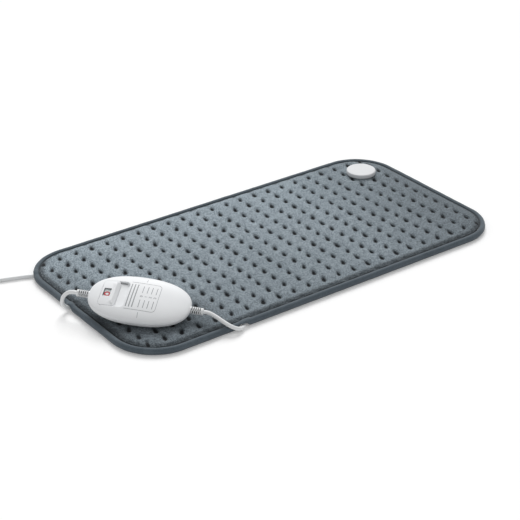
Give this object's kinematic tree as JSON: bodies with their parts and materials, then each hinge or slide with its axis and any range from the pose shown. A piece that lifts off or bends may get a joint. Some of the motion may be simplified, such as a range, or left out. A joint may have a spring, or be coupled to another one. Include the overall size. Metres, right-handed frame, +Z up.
{
  "type": "heating pad with controller",
  "caption": "Rectangular quilted plush heating pad with a piped edge and a junction cap, joined by a lead to an oval slide controller with a mains lead.",
  "frame": {"origin": "middle of the pad's underside, on the surface that it lies on", "axes": "+X along the pad towards the junction cap's end, +Y across the pad towards the cap's long side, +Z up"},
  "size_m": [0.716, 0.4622, 0.0468],
  "materials": {
    "plush": "short grey-blue plush",
    "binding_cloth": "matt knitted binding",
    "fleece": "felted",
    "heating_wire": "smooth insulation",
    "white_plastic": "moulded, semi-gloss",
    "white_cord": "smooth soft plastic",
    "scale_plastic": "printed, matt",
    "black_plastic": "moulded, matt",
    "ivory_plastic": "moulded, matt",
    "green_plastic": "moulded, matt",
    "yellow_plastic": "moulded, matt",
    "circuit_board": "lacquered laminate",
    "brown_insulation": "smooth insulation",
    "blue_insulation": "smooth insulation",
    "brass": "stamped",
    "steel": "plated"
  },
  "bodies": {
    "heating_pad": {"pad_bottom_cover": "binding_cloth", "edge_piping": "binding_cloth", "element_fleece": "fleece", "heating_wire": "heating_wire", "pad_top_cover": "plush", "junction_base": "black_plastic", "junction_carrier": "ivory_plastic", "junction_clip_1": "brass", "junction_clip_2": "brass", "thermal_cutout": "ivory_plastic", "junction_cap": "white_plastic", "controller_bottom_shell": "white_plastic", "controller_top_shell": "white_plastic", "level_scale": "scale_plastic", "circuit_board": "circuit_board", "contact_plate": "brass", "detent_strip": "steel", "triac": "black_plastic", "suppressor_capacitor": "yellow_plastic", "glass_fuse": "steel", "mains_terminal": "green_plastic", "pad_terminal": "green_plastic", "live_core": "brown_insulation", "neutral_core": "blue_insulation", "pad_core_1": "brown_insulation", "pad_core_2": "blue_insulation", "strain_relief_pad": "white_cord", "strain_relief_mains": "white_cord", "case_screw_1": "steel", "case_screw_2": "steel", "case_screw_3": "steel", "case_screw_4": "steel", "mains_coil": "white_cord", "mains_cord": "white_cord", "mains_tail": "white_cord", "coil_tie": "black_plastic", "pad_lead": "white_cord", "plug_strain_relief": "white_cord", "plug_body": "white_cord", "plug_pin_1": "steel", "plug_pin_2": "steel"},
    "level_slider": {"slide_switch": "white_plastic", "contact_carriage": "black_plastic", "contact_wiper": "brass"}
  },
  "joints": [
    {"name": "level_slide", "type": "slide", "parent": "heating_pad", "child": "level_slider", "axis": [0.6743, -0.7359, -0.0611], "range_m": [0, 0.0114]}
  ]
}
